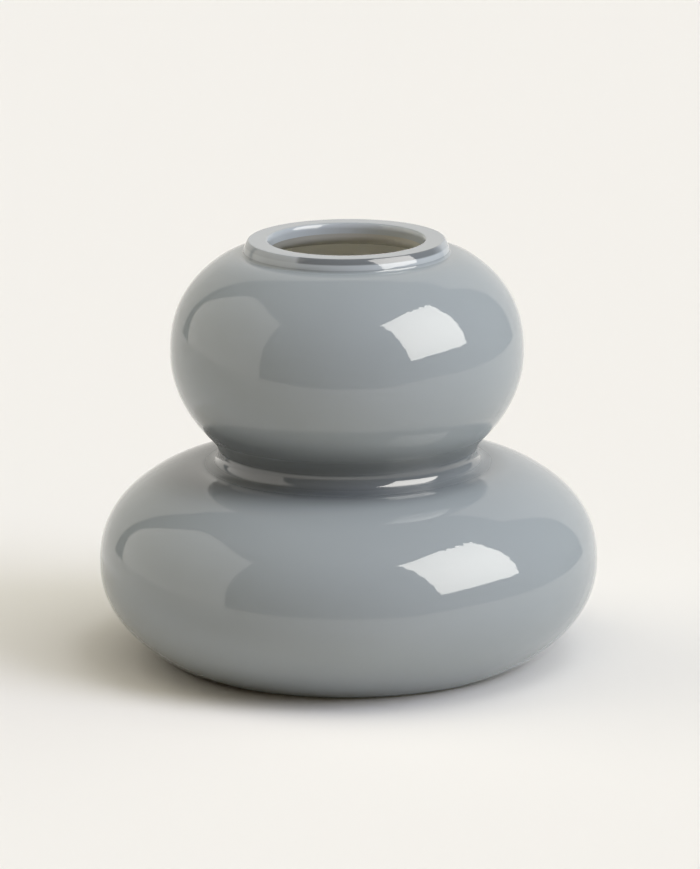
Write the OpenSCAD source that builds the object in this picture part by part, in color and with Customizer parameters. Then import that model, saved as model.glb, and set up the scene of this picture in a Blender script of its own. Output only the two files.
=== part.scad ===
// Vase of two flattened glass bulbs, blown apart, joined hot and pinched at the waist.
// A grey outer casing lies over a pale lining, with a wrapped lip and a heavy ground base.
// Millimetres, +Z up, origin at the middle of the base, on the table.

/* [Lower bulb] */
// Widest diameter of the lower bulb
lower_d = 200; // [190:1:215]
// Height of its widest part above the table
lower_mid_h = 38.5; // [34:0.5:44]
// Rise of its full crown above the widest part
lower_crown_h = 49.6; // [44:0.1:56]
// Fullness of the crown, where its outline crosses the diagonal of its box
lower_crown_share = 0.747; // [0.72:0.001:0.77]
// Fullness of the belly below it
lower_belly_share = 0.721; // [0.70:0.001:0.75]
// Diameter at which the belly comes down to the table
foot_d = 140.2; // [132:0.1:150]
// Height of the rounded edge where the belly turns under to the foot
foot_edge_h = 1.6; // [1:0.1:3]

/* [Waist] */
// Diameter of the narrowest line
waist_d = 104; // [98:1:108]
// Width of the sweep from that line out to the level shoulder
waist_sweep_w = 7; // [5:0.5:9]
// Height of the sweep from the level shoulder up to that line
waist_sweep_h = 5.1; // [4:0.1:8]
// Height of the upright band above the sweep
waist_band_h = 1.2; // [0.5:0.1:3]
// Rise of the turn from that band to where the underside leans out
waist_turn_h = 2.3; // [1:0.1:4]
// Start of the shoulder's roll over, as a share of the way from the sweep to the widest part
shoulder_join_share = 0.48; // [0.4:0.01:0.55]
// Place of the bend in the roll over, as a share of its width
shoulder_bend_share = 0.53; // [0.4:0.01:0.7]
// Start of the upper bulb's underside, as a share of the way from the waist to the widest part
under_join_share = 0.226; // [0.15:0.001:0.3]

/* [Upper bulb] */
// Widest diameter of the upper bulb
upper_d = 141.4; // [138:0.1:155]
// Drop of its full belly below the widest part
upper_belly_h = 53.9; // [48:0.1:60]
// Fullness of the belly
upper_belly_share = 0.707; // [0.70:0.001:0.74]
// Rise of its full crown above the widest part
upper_crown_h = 48.8; // [44:0.1:56]
// Fullness of the crown
upper_crown_share = 0.744; // [0.72:0.001:0.77]
// Start of the crown's levelling below the lip, as a share of the way from lip to widest part
neck_join_share = 0.381; // [0.3:0.001:0.48]
// Place of the bend in that levelling, as a share of its width
neck_bend_share = 0.463; // [0.35:0.001:0.65]

/* [Lip] */
// Outer diameter of the lip at its foot
lip_d = 82; // [76:0.1:86]
// Width of the lip at its foot, from the mouth out
lip_w = 10.1; // [8:0.1:13]
// Height of the glass wrapped round the mouth
lip_h = 4.3; // [3:0.1:8]
// Lean of the lip's outer face, from its foot in to its top
lip_lean_w = 1.9; // [1:0.1:3]
// Swell of that face, halfway up, as a share of the lean
lip_swell_share = 0.8; // [0.55:0.01:1]
// Rounding of the lip's outer edge
lip_round = 0.4; // [0.2:0.1:1]
// Rounding of the lip's inner edge
mouth_round = 1.1; // [0.5:0.1:2]
// Width of the small groove between crown and lip
groove_w = 0.9; // [0.5:0.1:2]
// Height of that groove
groove_h = 1.2; // [0.6:0.1:2]
// Straight depth of the mouth below the lip
mouth_land_h = 1.4; // [0.8:0.1:3]

/* [Glass] */
// Thickness of the grey casing
casing_t = 3; // [2:0.1:4]
// Thickness of the pale lining
lining_t = 1.6; // [1:0.1:2.5]
// Thickness of the base
base_t = 7; // [5:0.5:12]
// Width of the casing's ring on the table, round the base
foot_ring_w = 8.3; // [5:0.1:12]
// Width of the base's flat ring on the table, round its dish
base_ring_w = 13; // [8:0.5:24]
// Depth of the polished dish under the base
dish_h = 2.2; // [1:0.1:4]

/* [Hidden] */
$fn = 128;
// Steps in a quarter of a bulb's outline, and in a small bend
quarter_steps = 16;
bend_steps = 8;

// Power of the rounded quarter that crosses its diagonal at a given share
function fullness(share) = ln(0.5) / ln(share);
// Share of a quarter's height that it reaches at a share of its half width
function rise_share(share, power) = pow(1 - pow(share, power), 1 / power);
// Angle round a quarter for a share of its half width, 0 at the widest part
function turn_at(share, power) = acos(pow(share, power / 2));
// Slope of a quarter at a turn
function slope_at(size, power, turn) =
    size[1] / size[0] * pow(tan(turn), -2 * (power - 1) / power);
// Point of a quarter, from its centre
function quarter(size, power, turn) =
    [size[0] * pow(cos(turn), 2 / power), size[1] * pow(sin(turn), 2 / power)];
// Points of a quarter between two turns, without the first one
function quarter_run(size, power, from, to) =
    [for (i = [1:quarter_steps]) quarter(size, power, from + (to - from) * i / quarter_steps)];
// Points of a bend from one point to another round a corner, without the first one
function bend(start, corner, end) =
    [for (i = [1:bend_steps]) let (s = i / bend_steps)
        (1 - s) * (1 - s) * start + 2 * s * (1 - s) * corner + s * s * end];
// Points of a quarter ellipse from one point to another, leaving sideways, without the first one
function sweep(start, end) =
    [for (i = [1:bend_steps]) let (a = 90 * i / bend_steps)
        [start[0] + (end[0] - start[0]) * sin(a), end[1] + (start[1] - end[1]) * cos(a)]];
// Points raised by a height
function raised(points, height) = [for (p = points) [p[0], p[1] + height]];
// Points with their heights turned over
function mirrored(points) = [for (p = points) [p[0], -p[1]]];
// Some of the points, and the points in the other order
function part_of(points, first, last) = [for (i = [first:last]) points[i]];
function back(points) = [for (i = [len(points) - 1:-1:0]) points[i]];
// Outline moved into the glass by a depth
function inset(points, depth) =
    [for (i = [0:len(points) - 1])
        let (way = points[min(i + 1, len(points) - 1)] - points[max(i - 1, 0)])
        points[i] + depth * [-way[1], way[0]] / norm(way)];
// Points above a height, and the radius of a rising outline at a height
function above(points, height) = [for (p = points) if (p[1] > height) p];
function radius_at(points, height) = lookup(height, [for (p = points) [p[1], p[0]]]);

// Belly of the lower bulb, down to the foot
lower_r = lower_d / 2;
belly_power = fullness(lower_belly_share);
lower_belly = [lower_r, lower_mid_h / rise_share(foot_d / lower_d, belly_power)];
foot_turn = asin(pow((lower_mid_h - foot_edge_h) / lower_belly[1], belly_power / 2));
foot_top = [quarter(lower_belly, belly_power, foot_turn)[0], foot_edge_h];
foot_corner = [foot_top[0] - foot_edge_h / slope_at(lower_belly, belly_power, foot_turn), 0];
foot_start = [2 * foot_corner[0] - foot_top[0], 0];

// Crown of the lower bulb, roll over of its shoulder and sweep up to the waist line
waist_r = waist_d / 2;
level_r = waist_r + waist_sweep_w;
lower_crown = [lower_r, lower_crown_h];
crown_power = fullness(lower_crown_share);
shoulder_r = level_r + shoulder_join_share * (lower_r - level_r);
shoulder_turn = turn_at(shoulder_r / lower_r, crown_power);
shoulder = quarter(lower_crown, crown_power, shoulder_turn) + [0, lower_mid_h];
shoulder_bend_r = level_r + shoulder_bend_share * (shoulder_r - level_r);
shoulder_slope = slope_at(lower_crown, crown_power, shoulder_turn);
level_z = shoulder[1] + shoulder_slope * (shoulder_r - shoulder_bend_r);
waist_z = level_z + waist_sweep_h;

// Underside of the upper bulb, from the waist to its widest part
upper_r = upper_d / 2;
upper_belly = [upper_r, upper_belly_h];
under_power = fullness(upper_belly_share);
under_r = waist_r + under_join_share * (upper_r - waist_r);
under_turn = turn_at(under_r / upper_r, under_power);
band_z = waist_z + waist_band_h;
turn_z = band_z + waist_turn_h;
under_z = turn_z + slope_at(upper_belly, under_power, under_turn) * (under_r - waist_r);
upper_mid_z = under_z + quarter(upper_belly, under_power, under_turn)[1];

// Crown of the upper bulb, its levelling to the groove, and the lip
lip_r = lip_d / 2;
mouth_r = lip_r - lip_w;
groove_r = lip_r + groove_w;
upper_crown = [upper_r, upper_crown_h];
dome_power = fullness(upper_crown_share);
neck_r = groove_r + neck_join_share * (upper_r - groove_r);
neck_turn = turn_at(neck_r / upper_r, dome_power);
neck = quarter(upper_crown, dome_power, neck_turn) + [0, upper_mid_z];
neck_bend_r = groove_r + neck_bend_share * (neck_r - groove_r);
groove_z = neck[1] + slope_at(upper_crown, dome_power, neck_turn) * (neck_r - neck_bend_r);
seat_z = groove_z + groove_h;
lip_z = seat_z + lip_h;

// The whole outer line, from the foot to the seat of the lip
foot_line = concat([foot_start], bend(foot_start, foot_corner, foot_top));
belly_line = raised(mirrored(quarter_run(lower_belly, belly_power, foot_turn, 0)), lower_mid_h);
crown_line = raised(quarter_run(lower_crown, crown_power, 0, shoulder_turn), lower_mid_h);
roll_line = bend(shoulder, [shoulder_bend_r, level_z], [level_r, level_z]);
sweep_line = bend([level_r, level_z], [waist_r, level_z], [waist_r, waist_z]);
turn_line = concat([[waist_r, band_z]],
    bend([waist_r, band_z], [waist_r, turn_z], [under_r, under_z]));
under_line = raised(mirrored(quarter_run(upper_belly, under_power, under_turn, 0)), upper_mid_z);
dome_line = raised(quarter_run(upper_crown, dome_power, 0, neck_turn), upper_mid_z);
neck_line = bend(neck, [neck_bend_r, groove_z], [groove_r, groove_z]);
groove_line = sweep([groove_r, groove_z], [lip_r, seat_z]);
outer_line = concat(foot_line, belly_line, crown_line, roll_line, sweep_line, turn_line,
    under_line, dome_line, neck_line, groove_line);

// Places along it where one piece meets the next
widest_i = bend_steps + quarter_steps;
level_i = widest_i + quarter_steps + bend_steps;
waist_i = level_i + bend_steps;
under_i = waist_i + 1 + bend_steps;
groove_i = under_i + 2 * quarter_steps + bend_steps;
top_i = groove_i + bend_steps;

// Lines inside the wall: between casing and lining, and the inner face
wall_t = casing_t + lining_t;
casing_line = inset(outer_line, casing_t);
inner_line = inset(outer_line, wall_t);
base_r = foot_start[0] - foot_ring_w;
dish_r = base_r - base_ring_w;
floor_z = base_t + lining_t;
casing_base_r = radius_at(part_of(casing_line, 0, widest_i), base_t);
inner_floor_r = radius_at(part_of(inner_line, 0, widest_i), floor_z);

// Heavy bottom of the vase, ground flat round a polished dish
module base_disc() {
    dish = [for (i = [0:quarter_steps]) let (s = i / quarter_steps)
        [dish_r * s, dish_h * (1 - s * s)]];
    color([0.50, 0.52, 0.53])
        rotate_extrude()
            polygon(concat(dish, [[base_r, 0], [base_r, base_t], [0, base_t]]));
}

// Grey casing of the lower bulb, with the thick ring that stands on the table
module lower_bulb() {
    outside = part_of(outer_line, 0, level_i);
    inside = above(part_of(casing_line, 0, level_i), base_t);
    color([0.55, 0.57, 0.585])
        rotate_extrude()
            polygon(concat([[base_r, 0]], outside, back(inside),
                [[casing_base_r, base_t], [base_r, base_t]]));
}

// Pale layer inside the lower bulb, floor and all, up to the waist line
module lower_lining() {
    outside = above(part_of(casing_line, 0, waist_i), base_t);
    inside = above(part_of(inner_line, 0, waist_i), floor_z);
    color([0.80, 0.79, 0.74])
        rotate_extrude()
            polygon(concat([[0, base_t], [casing_base_r, base_t]], outside, back(inside),
                [[inner_floor_r, floor_z], [0, floor_z]]));
}

// Band of casing glass that joins the two bulbs at the waist
module waist_joint() {
    outside = part_of(outer_line, level_i, under_i);
    inside = part_of(casing_line, level_i, under_i);
    color([0.47, 0.49, 0.50])
        rotate_extrude()
            polygon(concat(outside, back(inside)));
}

// Grey casing of the upper bulb, up to the seat of the lip
module upper_bulb() {
    outside = part_of(outer_line, under_i, top_i);
    inside = part_of(casing_line, under_i, groove_i);
    land = [mouth_r, seat_z - mouth_land_h];
    edge = inner_line[groove_i];
    color([0.57, 0.59, 0.60])
        rotate_extrude()
            polygon(concat(outside, [[mouth_r, seat_z], land],
                bend(land, [mouth_r, edge[1]], edge), back(inside)));
}

// Pale layer inside the upper bulb, from the waist line to the neck
module upper_lining() {
    outside = part_of(casing_line, waist_i, groove_i);
    inside = part_of(inner_line, waist_i, groove_i);
    color([0.82, 0.81, 0.76])
        rotate_extrude()
            polygon(concat(outside, back(inside)));
}

// Ring of glass wrapped round the mouth, flat on top, with a face that leans in and swells a little
module lip_wrap() {
    top_edge = [lip_r - lip_lean_w, lip_z];
    top_start = top_edge - [lip_round, 0];
    swell = [lip_r - lip_lean_w * (1 - lip_swell_share), seat_z + lip_h / 2];
    face_top = top_edge + lip_round * (swell - top_edge) / norm(swell - top_edge);
    outer_edge = concat([top_start], bend(top_start, top_edge, face_top),
        bend(face_top, swell, [lip_r, seat_z]));
    inner_edge = sweep([mouth_r + mouth_round, lip_z], [mouth_r, lip_z - mouth_round]);
    color([0.60, 0.62, 0.63])
        rotate_extrude()
            polygon(concat([[mouth_r, seat_z]], back(outer_edge),
                [[mouth_r + mouth_round, lip_z]], inner_edge));
}

base_disc();
lower_bulb();
lower_lining();
waist_joint();
upper_bulb();
upper_lining();
lip_wrap();
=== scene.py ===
# Double bulb vase of opaque grey glass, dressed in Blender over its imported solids.
# Every piece is turned afresh from the vase's own outline, finer than the solids, with the
# slow waviness of blown glass. Outline sizes are millimetres and the scene is in metres.
import math
from types import SimpleNamespace

import bpy
import numpy as np
from mathutils import Matrix, Vector


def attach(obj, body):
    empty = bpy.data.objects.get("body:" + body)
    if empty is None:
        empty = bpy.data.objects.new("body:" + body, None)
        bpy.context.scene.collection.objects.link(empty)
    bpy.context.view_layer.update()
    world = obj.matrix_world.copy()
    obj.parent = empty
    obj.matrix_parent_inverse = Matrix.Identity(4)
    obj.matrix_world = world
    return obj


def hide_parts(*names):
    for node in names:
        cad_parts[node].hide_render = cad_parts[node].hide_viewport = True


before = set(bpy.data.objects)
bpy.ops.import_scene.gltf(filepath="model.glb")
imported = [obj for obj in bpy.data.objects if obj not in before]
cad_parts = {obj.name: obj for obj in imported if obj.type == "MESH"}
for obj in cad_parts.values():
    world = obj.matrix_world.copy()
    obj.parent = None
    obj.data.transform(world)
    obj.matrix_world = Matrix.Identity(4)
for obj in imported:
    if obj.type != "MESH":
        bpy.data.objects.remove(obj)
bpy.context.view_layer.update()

MM = 0.001

# Outline of the vase, the same driving sizes as its solids
LOWER_D, LOWER_MID_H, LOWER_CROWN_H = 200, 38.5, 49.6
LOWER_CROWN_SHARE, LOWER_BELLY_SHARE = 0.747, 0.721
FOOT_D, FOOT_EDGE_H = 140.2, 1.6
WAIST_D, WAIST_SWEEP_W, WAIST_SWEEP_H, WAIST_BAND_H, WAIST_TURN_H = 104, 7, 5.1, 1.2, 2.3
SHOULDER_JOIN_SHARE, SHOULDER_BEND_SHARE, UNDER_JOIN_SHARE = 0.48, 0.53, 0.226
UPPER_D, UPPER_BELLY_H, UPPER_CROWN_H = 141.4, 53.9, 48.8
UPPER_BELLY_SHARE, UPPER_CROWN_SHARE = 0.707, 0.744
NECK_JOIN_SHARE, NECK_BEND_SHARE = 0.381, 0.463
LIP_D, LIP_W, LIP_H, LIP_LEAN_W, LIP_SWELL_SHARE = 82, 10.1, 4.3, 1.9, 0.8
LIP_ROUND, MOUTH_ROUND, MOUTH_LAND_H = 0.4, 1.1, 1.4
GROOVE_W, GROOVE_H = 0.9, 1.2
CASING_T, LINING_T, BASE_T = 3, 1.6, 7
FOOT_RING_W, BASE_RING_W, DISH_H = 8.3, 13, 2.2
# Height of the mouth's inner roll, which is deeper here than on the solid
MOUTH_SOFT_H = 2.6

# Fineness of the turned meshes
QUARTER_STEPS, BEND_STEPS, EDGE_STEPS, BAND_STEPS, TURN_STEPS = 40, 14, 8, 4, 288
# Below these there is no gap between two places, and no side to a face
SAME_PLACE, NO_FACE = 1e-6, 1e-9

# Slow waves left in the glass by blowing
WAVE_DEPTH = 0.10
WAVE_LENGTHS = (34, 41, 52, 63, 78)
WAVES_EACH = 2
WAVE_FADE_H = 9
WAVE_SEED = 7

# Fine marks of blowing, with scales in marks to the metre
LINE_SCALES, LINE_DETAIL = (6, 6, 160), 2
SEED_SCALE, SEED_R, SEED_RARITY, SEED_HEIGHT = 62, 0.045, 0.9, 0.6
SMUDGE_SCALE, SMUDGE_DETAIL, SMUDGE_FROM, SMUDGE_TO, SMUDGE_ROUGHNESS = 45, 4, 0.45, 0.75, 0.02
CLOUD_SCALE, CLOUD_SQUASH = 14, 2.2
CLOUD_DETAIL, CLOUD_ROUGHNESS, CLOUD_DISTORTION = 3, 0.45, 0.6
MARK_DEPTH = 0.03
# Wear where the foot has stood on tables
WEAR_H, WEAR_ROUGHNESS = 3, 0.25

GLASS_IOR = 1.55
# Clear coat on the sweep up to the waist. It begins and is full at two heights above the shoulder's
# level, and fades out over the last one, above the waist band.
SWEEP_COAT, COAT_START_H, COAT_FULL_H, COAT_END_H = 0.5, 1.2, 2.4, 1
# Rougher glass in the folds beside the sweep, full and gone at two distances from the waist band
FOLD_ROUGHNESS, FOLD_FROM, FOLD_TO = 0.25, 8, 11

# Painted shade round the waist, where the upper bulb shades the lower one, between two distances and most
# to the left
WAIST_PAINTED_SHADE, WAIST_SHADE_FROM, WAIST_SHADE_TO, WAIST_SHADE_SIDE = 0.5, 4, 25, 0.14
# Painted shade and painted reflection of the dark room along the front of the lip's edge, between two
# turns in degrees, each with its soft end
LIP_EDGE_PAINTED_SHADE, LIP_EDGE_SHADE_H, LIP_EDGE_SHADE_SOFT_H, LIP_EDGE_SHADE_SOFT_W = 0.55, 1.9, 0.7, 0.2
LIP_EDGE_SHADE_FROM, LIP_EDGE_SHADE_TO, LIP_EDGE_SHADE_SOFT_FROM, LIP_EDGE_SHADE_SOFT_TO = -27, 57, 4, 20
# Painted light on the lip's foot, painted light in the bore, and painted shade and light in the neck, the
# bore and the neck each with a gain at its left and at its right
LIP_FOOT_PAINTED_LIGHT, BORE_PAINTED_LIGHT_GAINS, NECK_PAINTED_LIGHT_GAINS = 1.2, (1.25, 1.85), (0.35, 1.1)
BORE_START_W, BORE_FULL_W = 1.0, 0.2

# Photograph's view: a long lens a little above the vase
VIEW_DISTANCE, VIEW_HEIGHT, VIEW_SIDE, VIEW_REACH = 2.530, 0.7015, 0.00093, 100
VIEW_DOWN, VIEW_ROLL = 13.589, 0.38
FOCAL_PIXELS, FRAME_PIXELS_H, SENSOR_H = 6500, 869, 36

# Large soft sources: azimuth, elevation and width in degrees, and level in red, green, blue
SOFTBOXES = {
    "key_softbox": (63, 34, 32, (1.05, 1.12, 1.48)),
    "high_softbox": (63, 66, 35, (0.52, 0.55, 0.62)),
    "overhead_softbox": (0, 89.9, 58, (0.90, 0.88, 0.80)),
    "left_softbox": (-105, 43, 50, (0.90, 0.86, 0.76)),
}
# Pale walls of the room: the side they are on, how narrow they light, and level in red, green, blue
WALLS = {
    "right_wall": ((1, 0, 0), 2, (1.86, 1.89, 1.70)),
    "front_wall": ((0, -1, 0), 2, (0.22, 0.15, 0.08)),
}
# Levels of what the glass mirrors, and the share that the window loses from middle to corners
FLOOR_SHINE, BACK_SHINE, KEY_SHINE, LEFT_SHINE, DARK_SHINE = 1.04, 0.98, 9.5, 1.38, 0.34
DARK_TINT = (0.9, 0.97, 1.0, 1)
KEY_GLOW = 0.22
# Bounces that soft light makes between surfaces
LIGHT_BOUNCES = 16

# Floor in metres, with a corner every few degrees
NEAR_FLOOR_R, FAR_FLOOR_R, FLOOR_STEP = 0.23, 9, 3
# Cards: how far off they stand in metres, and how finely their light is laid out
CARD_R, CARD_COLUMNS, CARD_ROWS = 30, 4, 24

# Edges of the cards, as (azimuth, elevation) points in degrees. They lie at or near the directions
# that the photograph's reflections lead to when they are followed back from the glass.
FLOOR_LOW = [(-180, -89), (180, -89)]
HORIZON = [(-180, -4), (-137, -2), (-110, -3), (-83, -6), (-58, -9), (-30, -12), (0, -12.5),
           (30, -12), (58, -9), (75, -8.5), (106, -7.3), (123, -6.5), (137, -5), (180, -4)]
BACK_LOW = [(128, 45), (130, 42), (135, 32), (137, 24), (138, -6), (222, -6)]
BACK_HIGH = [(128, 46), (131, 48), (147, 60), (180, 56), (200, 57), (214, 52), (221, 42), (222, 20)]
WINDOW_LOW = [(30.5, 51), (33, 50), (33.3, 45.5), (36.4, 42.5), (36.6, 35), (38.4, 31), (38.6, 24),
              (40.4, 19), (40.6, 12), (41.8, 10.5), (42, 7.2), (46, 7.4), (54, 9.2), (64, 10.1),
              (75, 10.9), (79, 10.2), (86, 11.3), (86.4, 16), (88, 21), (88.2, 27), (89.9, 29),
              (90.2, 34), (91.8, 38), (92, 45), (93.8, 48), (94, 52), (95.5, 53)]
WINDOW_HIGH = [(30.5, 51.6), (36, 53), (42, 54.3), (50, 56.2), (58, 57.4), (64, 57.8), (70, 58.2),
               (73, 56.6), (77, 57.8), (81, 55.6), (85, 57), (88, 54.2), (91.5, 55.6), (93.5, 53.6),
               (95.5, 53.4)]
PANEL_LOW = [(-132, 12), (-127, -3), (-58, -14)]
PANEL_HIGH = [(-132, 21), (-128, 30), (-119, 47), (-112, 51), (-99, 53), (-85, 52), (-70, 49.5),
              (-58, 46.5)]
CARDS = {
    "white_floor_far": (FLOOR_LOW, HORIZON, FLOOR_SHINE, 0.0),
    "white_backdrop": (BACK_LOW, BACK_HIGH, BACK_SHINE, 0.0),
    "key_window": (WINDOW_LOW, WINDOW_HIGH, KEY_SHINE, KEY_GLOW),
    "left_panel": (PANEL_LOW, PANEL_HIGH, LEFT_SHINE, 0.0),
}

# Numbers of a colour mix node's sockets: share, first colour, second colour, and the one it puts out
MIX_SHARE, MIX_FIRST, MIX_SECOND, MIXED = 0, 6, 7, 2


def linear(red, green, blue):
    """Linear colour of a display colour given in 0 to 255."""
    def channel(value):
        share = value / 255
        return share / 12.92 if share <= 0.04045 else ((share + 0.055) / 1.055) ** 2.4
    return (channel(red), channel(green), channel(blue), 1)


GREY = linear(148, 154, 156)
LIP_GREY = linear(156, 161, 164)
GROUND_GREY = linear(146, 151, 152)
LINING_PALE = linear(245, 243, 235)
NECK_PALE = linear(213, 211, 201)
PALE = linear(245, 242, 236)
FLOOR_PALE = linear(236, 233, 227)


# Outline

def fullness(share):
    """Power of the rounded quarter that passes through this share of both its sizes."""
    return math.log(0.5) / math.log(share)


def rise_share(share, power):
    """Share of its height that a quarter has reached at this share of its radius."""
    return (1 - share ** power) ** (1 / power)


def turn_at(share, power):
    """Turn at which a quarter has this share of its radius."""
    return math.acos(share ** (power / 2))


def slope_at(size, power, turn):
    """Steepness of a quarter at a turn."""
    return size[1] / size[0] * math.tan(turn) ** (-2 * (power - 1) / power)


def quarter(size, power, turn):
    """Point of a rounded quarter at a turn from its widest part."""
    return np.array([size[0] * math.cos(turn) ** (2 / power), size[1] * math.sin(turn) ** (2 / power)])


def quarter_run(size, power, start, end):
    """Points of a quarter between two turns, without the first one."""
    turns = [start + (end - start) * i / QUARTER_STEPS for i in range(1, QUARTER_STEPS + 1)]
    return [quarter(size, power, max(turn, 0)) for turn in turns]


def bend(start, corner, end, steps=BEND_STEPS):
    """Points of a bend round a corner, without the first one."""
    start, corner, end = np.array(start), np.array(corner), np.array(end)
    shares = [i / steps for i in range(1, steps + 1)]
    return [(1 - s) ** 2 * start + 2 * s * (1 - s) * corner + s * s * end for s in shares]


def sweep(start, end, steps=BEND_STEPS):
    """Points of a quarter ellipse that leaves its start sideways, without the first one."""
    angles = [math.pi / 2 * i / steps for i in range(1, steps + 1)]
    return [np.array([start[0] + (end[0] - start[0]) * math.sin(a),
                      end[1] + (start[1] - end[1]) * math.cos(a)]) for a in angles]


def raised(points, height, flip=1):
    return [np.array([p[0], flip * p[1] + height]) for p in points]


def inset(points, depth):
    """The outline moved into the glass by a depth."""
    points = np.array(points)
    way = np.gradient(points, axis=0)
    way /= np.linalg.norm(way, axis=1, keepdims=True)
    return points + depth * np.stack([-way[:, 1], way[:, 0]], axis=1)


def vase_lines():
    """Outer line of the vase from foot to lip seat, with the places where its pieces meet."""
    lower_r, upper_r, waist_r = LOWER_D / 2, UPPER_D / 2, WAIST_D / 2
    belly_power, crown_power = fullness(LOWER_BELLY_SHARE), fullness(LOWER_CROWN_SHARE)
    belly = (lower_r, LOWER_MID_H / rise_share(FOOT_D / LOWER_D, belly_power))
    foot_turn = math.asin(((LOWER_MID_H - FOOT_EDGE_H) / belly[1]) ** (belly_power / 2))
    foot_top = np.array([quarter(belly, belly_power, foot_turn)[0], FOOT_EDGE_H])
    foot_corner = np.array([foot_top[0] - FOOT_EDGE_H / slope_at(belly, belly_power, foot_turn), 0])
    foot_start = np.array([2 * foot_corner[0] - foot_top[0], 0])

    level_r = waist_r + WAIST_SWEEP_W
    crown = (lower_r, LOWER_CROWN_H)
    shoulder_r = level_r + SHOULDER_JOIN_SHARE * (lower_r - level_r)
    shoulder_turn = turn_at(shoulder_r / lower_r, crown_power)
    shoulder = quarter(crown, crown_power, shoulder_turn) + [0, LOWER_MID_H]
    shoulder_bend_r = level_r + SHOULDER_BEND_SHARE * (shoulder_r - level_r)
    level_z = shoulder[1] + slope_at(crown, crown_power, shoulder_turn) * (shoulder_r - shoulder_bend_r)
    waist_z = level_z + WAIST_SWEEP_H

    under = (upper_r, UPPER_BELLY_H)
    under_power, dome_power = fullness(UPPER_BELLY_SHARE), fullness(UPPER_CROWN_SHARE)
    under_r = waist_r + UNDER_JOIN_SHARE * (upper_r - waist_r)
    under_turn = turn_at(under_r / upper_r, under_power)
    band_z = waist_z + WAIST_BAND_H
    turn_z = band_z + WAIST_TURN_H
    under_z = turn_z + slope_at(under, under_power, under_turn) * (under_r - waist_r)
    upper_mid_z = under_z + quarter(under, under_power, under_turn)[1]

    lip_r = LIP_D / 2
    groove_r = lip_r + GROOVE_W
    dome = (upper_r, UPPER_CROWN_H)
    neck_r = groove_r + NECK_JOIN_SHARE * (upper_r - groove_r)
    neck_turn = turn_at(neck_r / upper_r, dome_power)
    neck = quarter(dome, dome_power, neck_turn) + [0, upper_mid_z]
    neck_bend_r = groove_r + NECK_BEND_SHARE * (neck_r - groove_r)
    groove_z = neck[1] + slope_at(dome, dome_power, neck_turn) * (neck_r - neck_bend_r)
    seat_z = groove_z + GROOVE_H

    band = [np.array([waist_r, waist_z + WAIST_BAND_H * i / BAND_STEPS]) for i in range(1, BAND_STEPS + 1)]
    runs = [
        ("start", [foot_start]),
        ("foot", bend(foot_start, foot_corner, foot_top)),
        ("widest", raised(quarter_run(belly, belly_power, foot_turn, 0), LOWER_MID_H, -1)),
        ("shoulder", raised(quarter_run(crown, crown_power, 0, shoulder_turn), LOWER_MID_H)),
        ("level", bend(shoulder, (shoulder_bend_r, level_z), (level_r, level_z))),
        ("waist", bend((level_r, level_z), (waist_r, level_z), (waist_r, waist_z))),
        ("band", band),
        ("under", bend((waist_r, band_z), (waist_r, turn_z), (under_r, under_z))),
        ("upper_widest", raised(quarter_run(under, under_power, under_turn, 0), upper_mid_z, -1)),
        ("neck", raised(quarter_run(dome, dome_power, 0, neck_turn), upper_mid_z)),
        ("groove", bend(neck, (neck_bend_r, groove_z), (groove_r, groove_z))),
        ("seat", sweep((groove_r, groove_z), (lip_r, seat_z))),
    ]
    places, line = {}, []
    for name, points in runs:
        line += list(points)
        places[name] = len(line) - 1
    return np.array(line), places, seat_z


# Turned surfaces

def waves(points):
    """Depth of the slow waves at points, in millimetres, between 0 and WAVE_DEPTH."""
    dice = np.random.default_rng(WAVE_SEED)
    height = np.zeros(points.shape[:-1])
    for length in WAVE_LENGTHS:
        for _ in range(WAVES_EACH):
            way = dice.normal(size=3)
            way /= np.linalg.norm(way)
            height += np.sin(points @ way * 2 * math.pi / length + dice.uniform(0, 2 * math.pi))
    return WAVE_DEPTH * (0.5 + np.clip(height / (WAVES_EACH * len(WAVE_LENGTHS)), -0.5, 0.5))


def ring_normals(rings):
    around = np.roll(rings, -1, axis=1) - np.roll(rings, 1, axis=1)
    along = np.gradient(rings, axis=0)
    normals = np.cross(around, along)
    lengths = np.linalg.norm(normals, axis=-1, keepdims=True)
    flat = np.array([0, 0, np.sign(along[len(along) // 2, 0, 0] or 1) * -1.0])
    return np.where(lengths > NO_FACE, normals / np.maximum(lengths, NO_FACE), flat)


def turned(line, wavy=False):
    """Rings of points and of normals of a line turned round the upright axis."""
    line = np.asarray(line, float)
    angles = np.arange(TURN_STEPS) * 2 * math.pi / TURN_STEPS
    cos, sin = np.cos(angles), np.sin(angles)
    rings = np.stack([np.outer(line[:, 0], cos), np.outer(line[:, 0], sin),
                      np.repeat(line[:, 1:], TURN_STEPS, axis=1)], axis=-1)
    normals = ring_normals(rings)
    if wavy:
        low, high = line[:, 1].min(), line[:, 1].max()
        edge = np.clip(np.minimum(line[:, 1] - low, high - line[:, 1]) / WAVE_FADE_H, 0, 1)
        fade = edge ** 2 * (3 - 2 * edge)
        rings = rings - normals * (waves(rings) * fade[:, None])[..., None]
        normals = ring_normals(rings)
    return rings, normals


def part_of(surface, first, last):
    return surface[0][first:last + 1], surface[1][first:last + 1]


def turned_back(surface):
    """The same rings as the inner face of a wall: other order, other side."""
    return surface[0][::-1], -surface[1][::-1]


def flat_end(ring_a, ring_b):
    """Two rings joined by a flat face."""
    rings = np.stack([ring_a, ring_b])
    return rings, ring_normals(rings)


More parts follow.
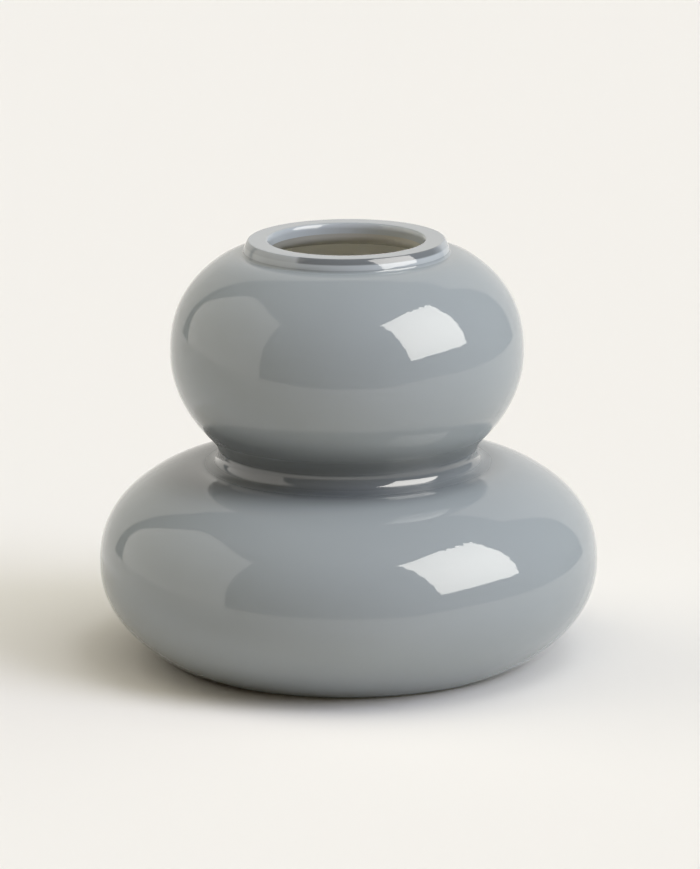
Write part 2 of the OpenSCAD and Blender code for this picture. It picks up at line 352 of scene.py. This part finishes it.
def closed_piece(node, surfaces, material):
    """One solid piece from surfaces laid end to end round its section."""
    chain = []
    for index, surface in enumerate(surfaces):
        following = surfaces[(index + 1) % len(surfaces)]
        chain.append(surface)
        end, start = surface[0][-1], following[0][0]
        if np.abs(end - start).max() > SAME_PLACE:
            chain.append(flat_end(end, start))
    vertices, ring_ids, faces, corner_normals = [], [], [], []
    for rings, _ in chain:
        for ring in rings[:-1]:
            ids = np.arange(TURN_STEPS) + len(vertices)
            if np.abs(ring[:, :2]).max() < SAME_PLACE:
                ids = np.full(TURN_STEPS, len(vertices))
                ring = ring[:1]
            vertices.extend(ring)
            ring_ids.append(ids)
    count, at = len(ring_ids), 0
    beside = np.roll(np.arange(TURN_STEPS), -1)
    for rings, normals in chain:
        for step in range(len(rings) - 1):
            low, high = ring_ids[at], ring_ids[(at + 1) % count]
            at += 1
            if low[0] == low[1] and high[0] == high[1]:
                continue
            for j, k in enumerate(beside):
                corners = [(low[j], normals[step, j]), (low[k], normals[step, k]),
                           (high[k], normals[step + 1, k]), (high[j], normals[step + 1, j])]
                kept = [c for n, c in enumerate(corners) if c[0] != corners[n - 1][0]]
                faces.append([c[0] for c in kept])
                corner_normals.extend(c[1] for c in kept)
    name = node + "_glass"
    mesh = bpy.data.meshes.new(name)
    mesh.from_pydata(np.array(vertices) * MM, [], faces)
    mesh.polygons.foreach_set("use_smooth", [True] * len(mesh.polygons))
    mesh.normals_split_custom_set(corner_normals)
    mesh.materials.append(material)
    piece = bpy.data.objects.new(name, mesh)
    bpy.context.scene.collection.objects.link(piece)
    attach(piece, "root")
    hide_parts(node)


# Shader parts

def node_group(name, inputs, outputs):
    """An empty shader group with its named sockets."""
    tree = bpy.data.node_groups.new(name, "ShaderNodeTree")
    for label, kind, value in inputs:
        socket = tree.interface.new_socket(name=label, in_out="INPUT", socket_type=kind)
        socket.default_value = value
    for label, kind in outputs:
        tree.interface.new_socket(name=label, in_out="OUTPUT", socket_type=kind)
    return tree, tree.nodes.new("NodeGroupInput"), tree.nodes.new("NodeGroupOutput")


def add(tree, kind, links=None, **values):
    """A node with settings by name and inputs given as values or sockets."""
    node = tree.nodes.new(kind)
    for label, value in values.items():
        setattr(node, label, value)
    for label, value in (links or {}).items():
        socket = node.inputs[label]
        if isinstance(value, bpy.types.NodeSocket):
            tree.links.new(value, socket)
        else:
            socket.default_value = value
    return node


def maths(tree, operation, *values):
    return add(tree, "ShaderNodeMath", dict(enumerate(values)), operation=operation).outputs[0]


def ramp(tree, value, start, end, low=0.0, high=1.0):
    """Soft step from low to high while a value goes from start to end."""
    node = add(tree, "ShaderNodeMapRange", {
        "Value": value, "From Min": start, "From Max": end, "To Min": low, "To Max": high},
        interpolation_type="SMOOTHSTEP")
    return node.outputs["Result"]


def scaled(tree, colour, gain):
    return add(tree, "ShaderNodeVectorMath", {0: colour, 3: gain}, operation="SCALE").outputs[0]


def spot(tree):
    """Place on the vase, its distance from the upright axis, and the parts of the place."""
    place = add(tree, "ShaderNodeTexCoord").outputs["Object"]
    flat = add(tree, "ShaderNodeVectorMath", {0: place, 1: (1, 1, 0)}, operation="MULTIPLY")
    radius = add(tree, "ShaderNodeVectorMath", {0: flat.outputs[0]}, operation="LENGTH")
    return place, radius.outputs["Value"], add(tree, "ShaderNodeSeparateXYZ", {"Vector": place}).outputs


def clouding_group():
    """Slow drifts of colour, as where molten glass was gathered in layers."""
    tree, given, result = node_group("blown_clouding", [
        ("Color", "NodeSocketColor", (0.5, 0.5, 0.5, 1)), ("Amount", "NodeSocketFloat", 0.04),
        ("Scale", "NodeSocketFloat", CLOUD_SCALE)], [("Color", "NodeSocketColor")])
    place = add(tree, "ShaderNodeTexCoord").outputs["Object"]
    squash = add(tree, "ShaderNodeMapping", {"Vector": place, "Scale": (1, 1, CLOUD_SQUASH)})
    noise = add(tree, "ShaderNodeTexNoise", {
        "Vector": squash.outputs["Vector"], "Scale": given.outputs["Scale"], "Detail": CLOUD_DETAIL,
        "Roughness": CLOUD_ROUGHNESS, "Distortion": CLOUD_DISTORTION})
    centred = maths(tree, "SUBTRACT", noise.outputs["Fac"], 0.5)
    swing = maths(tree, "MULTIPLY", centred, given.outputs["Amount"])
    gain = maths(tree, "MULTIPLY_ADD", swing, 2, 1)
    tree.links.new(scaled(tree, given.outputs["Color"], gain), result.inputs["Color"])
    return tree


def casing_group(waist_r, band_z, inside_r):
    """Casing with painted shade round the waist, where the upper bulb shades the lower one, most so to the
    left. It is glossy where the lower bulb sweeps up to the waist, dull in the folds beside that, and pale
    in the neck, with painted shade at the neck's left and painted light at its right."""
    tree, given, result = node_group("casing_painted_shade", [
        ("Color", "NodeSocketColor", (0.5, 0.5, 0.5, 1)), ("Amount", "NodeSocketFloat", WAIST_PAINTED_SHADE)],
        [("Color", "NodeSocketColor"), ("Coat", "NodeSocketFloat"), ("Dullness", "NodeSocketFloat")])
    _, radius, parts = spot(tree)
    section = add(tree, "ShaderNodeCombineXYZ", {"X": radius, "Z": parts["Z"]}).outputs[0]
    away = add(tree, "ShaderNodeVectorMath", {
        0: section, 1: (waist_r * MM, 0, band_z * MM)}, operation="DISTANCE").outputs["Value"]
    # Painted shade between the bulbs, where the upper one shades the lower one, darkest to the left
    aside = maths(tree, "MULTIPLY_ADD", parts["X"], WAIST_SHADE_SIDE, away)
    near = ramp(tree, aside, WAIST_SHADE_TO * MM, WAIST_SHADE_FROM * MM)
    shade = maths(tree, "MULTIPLY", near, given.outputs["Amount"])
    darker = scaled(tree, given.outputs["Color"], maths(tree, "SUBTRACT", 1.0, shade))
    inside = maths(tree, "LESS_THAN", radius, inside_r * MM)
    # Painted shade at the neck's left and painted light at its right, over its pale colour
    side = ramp(tree, parts["X"], -inside_r * MM, inside_r * MM, *NECK_PAINTED_LIGHT_GAINS)
    neck = scaled(tree, NECK_PALE[:3], side)
    toned = add(tree, "ShaderNodeMix", data_type="RGBA")
    for socket, value in ((MIX_SHARE, inside), (MIX_FIRST, darker), (MIX_SECOND, neck)):
        tree.links.new(value, toned.inputs[socket])
    level_z = band_z - WAIST_BAND_H - WAIST_SWEEP_H
    rising = ramp(tree, parts["Z"], (level_z + COAT_START_H) * MM, (level_z + COAT_FULL_H) * MM)
    ending = ramp(tree, parts["Z"], (band_z + COAT_END_H) * MM, band_z * MM)
    sweeping = maths(tree, "MULTIPLY", rising, ending)
    beside = maths(tree, "SUBTRACT", 1.0, sweeping)
    folded = ramp(tree, away, FOLD_TO * MM, FOLD_FROM * MM, 0.0, FOLD_ROUGHNESS)
    coated = maths(tree, "MULTIPLY", near, SWEEP_COAT)
    tree.links.new(toned.outputs[MIXED], result.inputs["Color"])
    tree.links.new(maths(tree, "MULTIPLY", coated, sweeping), result.inputs["Coat"])
    tree.links.new(maths(tree, "MULTIPLY", folded, beside), result.inputs["Dullness"])
    return tree


def lip_group(lip_r, mouth_r, lip_z):
    """Lip with painted light inside and at its foot, and painted shade along the front of its edge."""
    tree, given, result = node_group("lip_painted_light", [
        ("Color", "NodeSocketColor", (0.5, 0.5, 0.5, 1)), ("Amount", "NodeSocketFloat", LIP_EDGE_PAINTED_SHADE)],
        [("Color", "NodeSocketColor")])
    _, radius, parts = spot(tree)
    ahead = maths(tree, "MULTIPLY", parts["Y"], -1.0)
    turn = maths(tree, "ARCTAN2", parts["X"], ahead)
    face_r = lip_r - LIP_LEAN_W - LIP_ROUND
    # Painted shade and painted reflection of the dark room in front, along the lip's upper face
    edge_shade_z, foot_z = (lip_z - LIP_EDGE_SHADE_H) * MM, (lip_z - LIP_EDGE_SHADE_H - LIP_EDGE_SHADE_SOFT_H) * MM
    shade = given.outputs["Amount"]
    for value, none, full in (
            (radius, face_r * MM, (face_r + LIP_EDGE_SHADE_SOFT_W) * MM), (parts["Z"], foot_z, edge_shade_z),
            (turn, math.radians(LIP_EDGE_SHADE_FROM - LIP_EDGE_SHADE_SOFT_FROM), math.radians(LIP_EDGE_SHADE_FROM)),
            (turn, math.radians(LIP_EDGE_SHADE_TO + LIP_EDGE_SHADE_SOFT_TO), math.radians(LIP_EDGE_SHADE_TO))):
        shade = maths(tree, "MULTIPLY", shade, ramp(tree, value, none, full))
    # Painted light on the lip's foot, which faces up to the light, and in the bore, most at the right
    foot = ramp(tree, parts["Z"], edge_shade_z, foot_z, 1.0, LIP_FOOT_PAINTED_LIGHT)
    side = ramp(tree, parts["X"], -mouth_r * MM, mouth_r * MM, *BORE_PAINTED_LIGHT_GAINS)
    bore = ramp(tree, radius, (mouth_r + BORE_START_W) * MM, (mouth_r + BORE_FULL_W) * MM, 1.0, side)
    paler = maths(tree, "MAXIMUM", foot, bore)
    gain = maths(tree, "MULTIPLY", paler, maths(tree, "SUBTRACT", 1.0, shade))
    tree.links.new(scaled(tree, given.outputs["Color"], gain), result.inputs["Color"])
    return tree


def surface_group():
    """Height of the fine marks of blowing, and roughness with wear near the table."""
    tree, given, result = node_group("blown_surface", [
        ("Line height", "NodeSocketFloat", 0.3), ("Seed height", "NodeSocketFloat", SEED_HEIGHT),
        ("Roughness", "NodeSocketFloat", 0.03), ("Wear height", "NodeSocketFloat", WEAR_H * MM)],
        [("Height", "NodeSocketFloat"), ("Roughness", "NodeSocketFloat")])
    place, _, parts = spot(tree)
    bands = add(tree, "ShaderNodeMapping", {"Vector": place, "Scale": LINE_SCALES})
    lines = add(tree, "ShaderNodeTexNoise", {
        "Vector": bands.outputs["Vector"], "Scale": 1, "Detail": LINE_DETAIL, "Roughness": 0.5})
    line_height = maths(tree, "MULTIPLY", lines.outputs["Fac"], given.outputs["Line height"])
    cells = add(tree, "ShaderNodeTexVoronoi", {"Vector": place, "Scale": SEED_SCALE, "Randomness": 1})
    near = ramp(tree, cells.outputs["Distance"], SEED_R, 0.0)
    chance = add(tree, "ShaderNodeSeparateColor", {"Color": cells.outputs["Color"]}).outputs["Red"]
    seeds = maths(tree, "MULTIPLY", near, maths(tree, "GREATER_THAN", chance, SEED_RARITY))
    height = maths(tree, "MULTIPLY_ADD", seeds, given.outputs["Seed height"], line_height)
    worn = ramp(tree, parts["Z"], given.outputs["Wear height"], 0.0)
    smudges = add(tree, "ShaderNodeTexNoise", {
        "Vector": place, "Scale": SMUDGE_SCALE, "Detail": SMUDGE_DETAIL})
    smudge = ramp(tree, smudges.outputs["Fac"], SMUDGE_FROM, SMUDGE_TO, 0.0, SMUDGE_ROUGHNESS)
    base = maths(tree, "ADD", given.outputs["Roughness"], smudge)
    tree.links.new(height, result.inputs["Height"])
    tree.links.new(maths(tree, "MULTIPLY_ADD", worn, WEAR_ROUGHNESS, base), result.inputs["Roughness"])
    return tree


def glass_material(name, colour, groups, tone=None, cloud=0.05, line_height=0.3, rough=0.025):
    """Opaque blown glass with a mirror gloss, toned from place to place by a group of that name."""
    material = bpy.data.materials.new(name)
    material.use_nodes = True
    tree = material.node_tree
    shader = tree.nodes["Principled BSDF"]
    clouding = add(tree, "ShaderNodeGroup", node_tree=groups["clouding"])
    clouding.inputs["Color"].default_value = colour
    clouding.inputs["Amount"].default_value = cloud
    surface = add(tree, "ShaderNodeGroup", node_tree=groups["surface"])
    surface.inputs["Line height"].default_value = line_height
    surface.inputs["Seed height"].default_value = SEED_HEIGHT
    surface.inputs["Roughness"].default_value = rough
    tinted, roughness = clouding.outputs["Color"], surface.outputs["Roughness"]
    if tone:
        toned = add(tree, "ShaderNodeGroup", node_tree=groups[tone])
        tree.links.new(tinted, toned.inputs["Color"])
        tinted = toned.outputs["Color"]
        if "Coat" in toned.outputs:
            tree.links.new(toned.outputs["Coat"], shader.inputs["Coat Weight"])
            roughness = maths(tree, "ADD", roughness, toned.outputs["Dullness"])
    relief = add(tree, "ShaderNodeBump", {
        "Height": surface.outputs["Height"], "Strength": 1.0, "Distance": MARK_DEPTH * MM})
    tree.links.new(tinted, shader.inputs["Base Color"])
    tree.links.new(roughness, shader.inputs["Roughness"])
    tree.links.new(relief.outputs["Normal"], shader.inputs["Normal"])
    shader.inputs["IOR"].default_value = GLASS_IOR
    return material


# Pieces

def cut_to(lines, widest, height):
    """First ring above a height, on the way up to the widest one, and the radius at that height."""
    rising = lines[:widest + 1]
    first = int(np.argmax(rising[:, 1] > height))
    return first, float(np.interp(height, rising[:, 1], rising[:, 0]))


def shared_shape():
    """Lines, turned surfaces and sizes that more than one piece is made from."""
    line, at, seat_z = vase_lines()
    casing_line, inner_line = inset(line, CASING_T), inset(line, CASING_T + LINING_T)
    floor_z = BASE_T + LINING_T
    casing_first, casing_r = cut_to(casing_line, at["widest"], BASE_T)
    inner_first, inner_r = cut_to(inner_line, at["widest"], floor_z)
    return SimpleNamespace(
        line=line, at=at, casing_line=casing_line, inner_line=inner_line,
        outer=turned(line, wavy=True), casing=turned(casing_line), inner=turned(inner_line),
        casing_first=casing_first, casing_r=casing_r, inner_first=inner_first, inner_r=inner_r,
        base_r=line[0, 0] - FOOT_RING_W, lip_r=LIP_D / 2, mouth_r=LIP_D / 2 - LIP_W,
        floor_z=floor_z, seat_z=seat_z, lip_z=seat_z + LIP_H)


def vase_glasses(vase):
    """Finishes of the glass: grey casing, lip, pale lining, and the base ground flat."""
    groups = {"clouding": clouding_group(), "surface": surface_group(),
              "casing": casing_group(*vase.line[vase.at["band"]], vase.lip_r - CASING_T / 2),
              "lip": lip_group(vase.lip_r, vase.mouth_r, vase.lip_z)}
    return SimpleNamespace(
        grey=glass_material("grey_glass", GREY, groups, tone="casing"),
        lip=glass_material("lip_glass", LIP_GREY, groups, tone="lip", cloud=0.03),
        pale=glass_material("pale_lining", LINING_PALE, groups, cloud=0.03, line_height=1.0, rough=0.12),
        ground=glass_material("ground_base", GROUND_GREY, groups, rough=0.3))


def base_disc(vase, glass):
    """Heavy bottom, ground flat, with a shallow dish under it."""
    dish_r = vase.base_r - BASE_RING_W
    shares = [i / EDGE_STEPS for i in range(EDGE_STEPS + 1)]
    dish = [(dish_r * share, DISH_H * (1 - share ** 2)) for share in shares]
    closed_piece("base_disc", [
        turned(dish), turned([(dish_r, 0), (vase.base_r, 0)]),
        turned([(vase.base_r, 0), (vase.base_r, BASE_T)]),
        turned([(vase.base_r, BASE_T), (0, BASE_T)])], glass.ground)


def lower_bulb(vase, glass):
    """Casing of the lower bulb, down to the ring that stands on the table."""
    level, first = vase.at["level"], vase.casing_first
    closed_piece("lower_bulb", [
        turned([(vase.base_r, 0), vase.line[0]]), part_of(vase.outer, 0, level),
        turned_back(part_of(vase.casing, first, level)),
        turned([vase.casing_line[first], (vase.casing_r, BASE_T)]),
        turned([(vase.casing_r, BASE_T), (vase.base_r, BASE_T)])], glass.grey)


def lower_lining(vase, glass):
    """Pale layer inside the lower bulb, with its floor."""
    waist, outer_first, inner_first = vase.at["waist"], vase.casing_first, vase.inner_first
    closed_piece("lower_lining", [
        turned([(0, BASE_T), (vase.casing_r, BASE_T)]),
        turned([(vase.casing_r, BASE_T), vase.casing_line[outer_first]]),
        part_of(vase.casing, outer_first, waist),
        turned_back(part_of(vase.inner, inner_first, waist)),
        turned([vase.inner_line[inner_first], (vase.inner_r, vase.floor_z)]),
        turned([(vase.inner_r, vase.floor_z), (0, vase.floor_z)]),
        turned([(0, vase.floor_z), (0, BASE_T)])], glass.pale)


def waist_joint(vase, glass):
    """Band of casing where the two bulbs were joined and pinched in."""
    level, under = vase.at["level"], vase.at["under"]
    closed_piece("waist_joint", [
        part_of(vase.outer, level, under),
        turned_back(part_of(vase.casing, level, under))], glass.grey)


def upper_bulb(vase, glass):
    """Casing of the upper bulb, up to the seat of the lip and down inside the mouth."""
    under, groove = vase.at["under"], vase.at["groove"]
    edge = vase.inner_line[groove]
    land = (vase.mouth_r, vase.seat_z - MOUTH_LAND_H)
    closed_piece("upper_bulb", [
        part_of(vase.outer, under, vase.at["seat"]),
        turned([vase.line[-1], (vase.mouth_r, vase.seat_z)]),
        turned([(vase.mouth_r, vase.seat_z), land]),
        turned([land] + bend(land, (vase.mouth_r, edge[1]), edge)),
        turned([edge, vase.casing_line[groove]]),
        turned_back(part_of(vase.casing, under, groove))], glass.grey)


def upper_lining(vase, glass):
    """Pale layer inside the upper bulb."""
    waist, groove = vase.at["waist"], vase.at["groove"]
    closed_piece("upper_lining", [
        part_of(vase.casing, waist, groove),
        turned_back(part_of(vase.inner, waist, groove))], glass.pale)


def lip_wrap(vase, glass):
    """Ring of glass wrapped round the mouth, with a leaning, softly swelled face."""
    lip_r, lip_z, mouth_r, seat_z = vase.lip_r, vase.lip_z, vase.mouth_r, vase.seat_z
    top_edge = np.array([lip_r - LIP_LEAN_W, lip_z])
    top_start = top_edge - [LIP_ROUND, 0]
    swell = np.array([lip_r - LIP_LEAN_W * (1 - LIP_SWELL_SHARE), seat_z + LIP_H / 2])
    face_top = top_edge + LIP_ROUND * (swell - top_edge) / np.linalg.norm(swell - top_edge)
    outer_edge = [top_start] + bend(top_start, top_edge, face_top, EDGE_STEPS)
    outer_edge += bend(face_top, swell, (lip_r, seat_z))
    inner_edge = sweep((mouth_r + MOUTH_ROUND, lip_z), (mouth_r, lip_z - MOUTH_SOFT_H), EDGE_STEPS)
    lip_line = outer_edge[::-1] + [(mouth_r + MOUTH_ROUND, lip_z)] + inner_edge + [(mouth_r, seat_z)]
    closed_piece("lip_wrap", [
        turned([(mouth_r, seat_z), (lip_r, seat_z)]), turned(lip_line)], glass.lip)


def build_vase():
    vase = shared_shape()
    glass = vase_glasses(vase)
    for piece in (base_disc, lower_bulb, lower_lining, waist_joint, upper_bulb, upper_lining, lip_wrap):
        piece(vase, glass)


# Studio

def stage_mesh(name, vertices, faces, material):
    mesh = bpy.data.meshes.new(name)
    mesh.from_pydata(vertices, [], faces)
    mesh.materials.append(material)
    thing = bpy.data.objects.new(name, mesh)
    bpy.context.scene.collection.objects.link(thing)
    return thing


def toward(az, el, distance=1.0):
    """Point at an azimuth from the camera's side and an elevation, both in degrees."""
    a, e = math.radians(az), math.radians(el)
    return (distance * math.sin(a) * math.cos(e), -distance * math.cos(a) * math.cos(e),
            distance * math.sin(e))


def light_sheet(name):
    """Material that shines as bright as the sheet's own light value at each place."""
    material = bpy.data.materials.new(name)
    material.use_nodes = True
    tree = material.node_tree
    tree.nodes.remove(tree.nodes["Principled BSDF"])
    level = add(tree, "ShaderNodeAttribute", attribute_name="light")
    shine = add(tree, "ShaderNodeEmission", {"Color": PALE, "Strength": level.outputs["Fac"]})
    tree.links.new(shine.outputs[0], tree.nodes["Material Output"].inputs["Surface"])
    return material


def card(name, low, high, strength, glow):
    """A far sheet of light between two edges, each given as (azimuth, elevation) points.
    Only reflections see it. It dims by the share glow from its middle to its corners."""
    az_from, az_to = low[0][0], low[-1][0]
    columns = int(CARD_COLUMNS * (az_to - az_from))
    low_az, low_el = zip(*low)
    high_az, high_el = zip(*high)
    vertices, faces, light = [], [], []
    for i in range(columns + 1):
        az = az_from + (az_to - az_from) * i / columns
        bottom, top = np.interp(az, low_az, low_el), np.interp(az, high_az, high_el)
        for j in range(CARD_ROWS + 1):
            vertices.append(toward(az, bottom + (top - bottom) * j / CARD_ROWS, CARD_R))
            off = ((2 * i / columns - 1) ** 2 + (2 * j / CARD_ROWS - 1) ** 2) / 2
            light.append(strength * (1 - glow * off))
    for i in range(columns):
        for j in range(CARD_ROWS):
            a = i * (CARD_ROWS + 1) + j
            faces.append((a, a + CARD_ROWS + 1, a + CARD_ROWS + 2, a + 1))
    sheet = stage_mesh(name, vertices, faces, light_sheet(name))
    attribute = sheet.data.attributes.new("light", "FLOAT", "POINT")
    attribute.data.foreach_set("value", light)
    for ray in ("camera", "diffuse", "transmission", "volume_scatter", "shadow"):
        setattr(sheet, "visible_" + ray, False)


def build_floor():
    """Pale floor: a near disc that the glass mirrors, and a far ring that it doesn't."""
    floor = bpy.data.materials.new("pale_floor")
    floor.use_nodes = True
    shader = floor.node_tree.nodes["Principled BSDF"]
    shader.inputs["Base Color"].default_value = FLOOR_PALE
    shader.inputs["Roughness"].default_value = 1.0
    shader.inputs["Specular IOR Level"].default_value = 0.0
    ring = [toward(az, 0) for az in range(0, 360, FLOOR_STEP)]
    near = [tuple(c * NEAR_FLOOR_R for c in p) for p in ring]
    far = [tuple(c * FAR_FLOOR_R for c in p) for p in ring]
    count = len(ring)
    stage_mesh("near_floor", near, [list(range(count))], floor)
    sides = [(i, count + i, count + (i + 1) % count, (i + 1) % count) for i in range(count)]
    far_floor = stage_mesh("far_floor", near + far, sides, floor)
    far_floor.visible_glossy = False


def build_world():
    """Soft light that differs from side to side, a dark room for reflections, a pale backdrop."""
    world = bpy.data.worlds.new("plain_studio")
    bpy.context.scene.world = world
    world.use_nodes = True
    tree = world.node_tree
    tree.nodes.clear()
    where = add(tree, "ShaderNodeTexCoord").outputs["Generated"]
    total = (0, 0, 0)
    for side, power, level in WALLS.values():
        facing = add(tree, "ShaderNodeVectorMath", {0: where, 1: side}, operation="DOT_PRODUCT")
        lobe = maths(tree, "POWER", maths(tree, "MAXIMUM", facing.outputs["Value"], 0), power)
        total = add(tree, "ShaderNodeVectorMath", {0: total, 1: scaled(tree, level, lobe)}).outputs[0]
    path = add(tree, "ShaderNodeLightPath")
    around = add(tree, "ShaderNodeBackground", {"Color": total, "Strength": 1})
    dark = add(tree, "ShaderNodeBackground", {"Color": DARK_TINT, "Strength": DARK_SHINE})
    backdrop = add(tree, "ShaderNodeBackground", {"Color": PALE, "Strength": 1})
    mirrored = add(tree, "ShaderNodeMixShader", {
        0: path.outputs["Is Glossy Ray"], 1: around.outputs[0], 2: dark.outputs[0]})
    seen = add(tree, "ShaderNodeMixShader", {
        0: path.outputs["Is Camera Ray"], 1: mirrored.outputs[0], 2: backdrop.outputs[0]})
    result = add(tree, "ShaderNodeOutputWorld")
    tree.links.new(seen.outputs[0], result.inputs["Surface"])


def build_softboxes():
    """Large soft lamps, which the glass doesn't mirror."""
    for name, (az, el, width, level) in SOFTBOXES.items():
        light = bpy.data.lights.new(name, "SUN")
        light.energy = max(level)
        light.angle = math.radians(width)
        light.color = [share / max(level) for share in level]
        lamp = bpy.data.objects.new(name, light)
        bpy.context.scene.collection.objects.link(lamp)
        lamp.rotation_mode = "QUATERNION"
        lamp.rotation_quaternion = Vector(toward(az, el)).to_track_quat("Z", "Y")
        lamp.visible_glossy = False


def build_camera():
    """The photograph's view, set square to the frame of 700 by 869."""
    down, roll = math.radians(VIEW_DOWN), math.radians(VIEW_ROLL)
    ahead = Vector((0, math.cos(down), -math.sin(down)))
    level = Vector((1, 0, 0))
    upward = level.cross(ahead)
    right = math.cos(roll) * level - math.sin(roll) * upward
    top = math.sin(roll) * level + math.cos(roll) * upward
    data = bpy.data.cameras.new("view")
    data.sensor_fit = "VERTICAL"
    data.sensor_height = SENSOR_H
    data.lens = SENSOR_H * FOCAL_PIXELS / FRAME_PIXELS_H
    data.clip_end = VIEW_REACH
    camera = bpy.data.objects.new("view", data)
    bpy.context.scene.collection.objects.link(camera)
    turn = Matrix((right, top, -ahead)).transposed().to_4x4()
    camera.matrix_world = Matrix.Translation((VIEW_SIDE, -VIEW_DISTANCE, VIEW_HEIGHT)) @ turn
    bpy.context.scene.camera = camera


build_vase()
build_floor()
for card_name, card_values in CARDS.items():
    card(card_name, *card_values)
build_world()
build_softboxes()
build_camera()
bpy.context.scene.view_settings.view_transform = "Standard"
bpy.context.scene.cycles.diffuse_bounces = LIGHT_BOUNCES
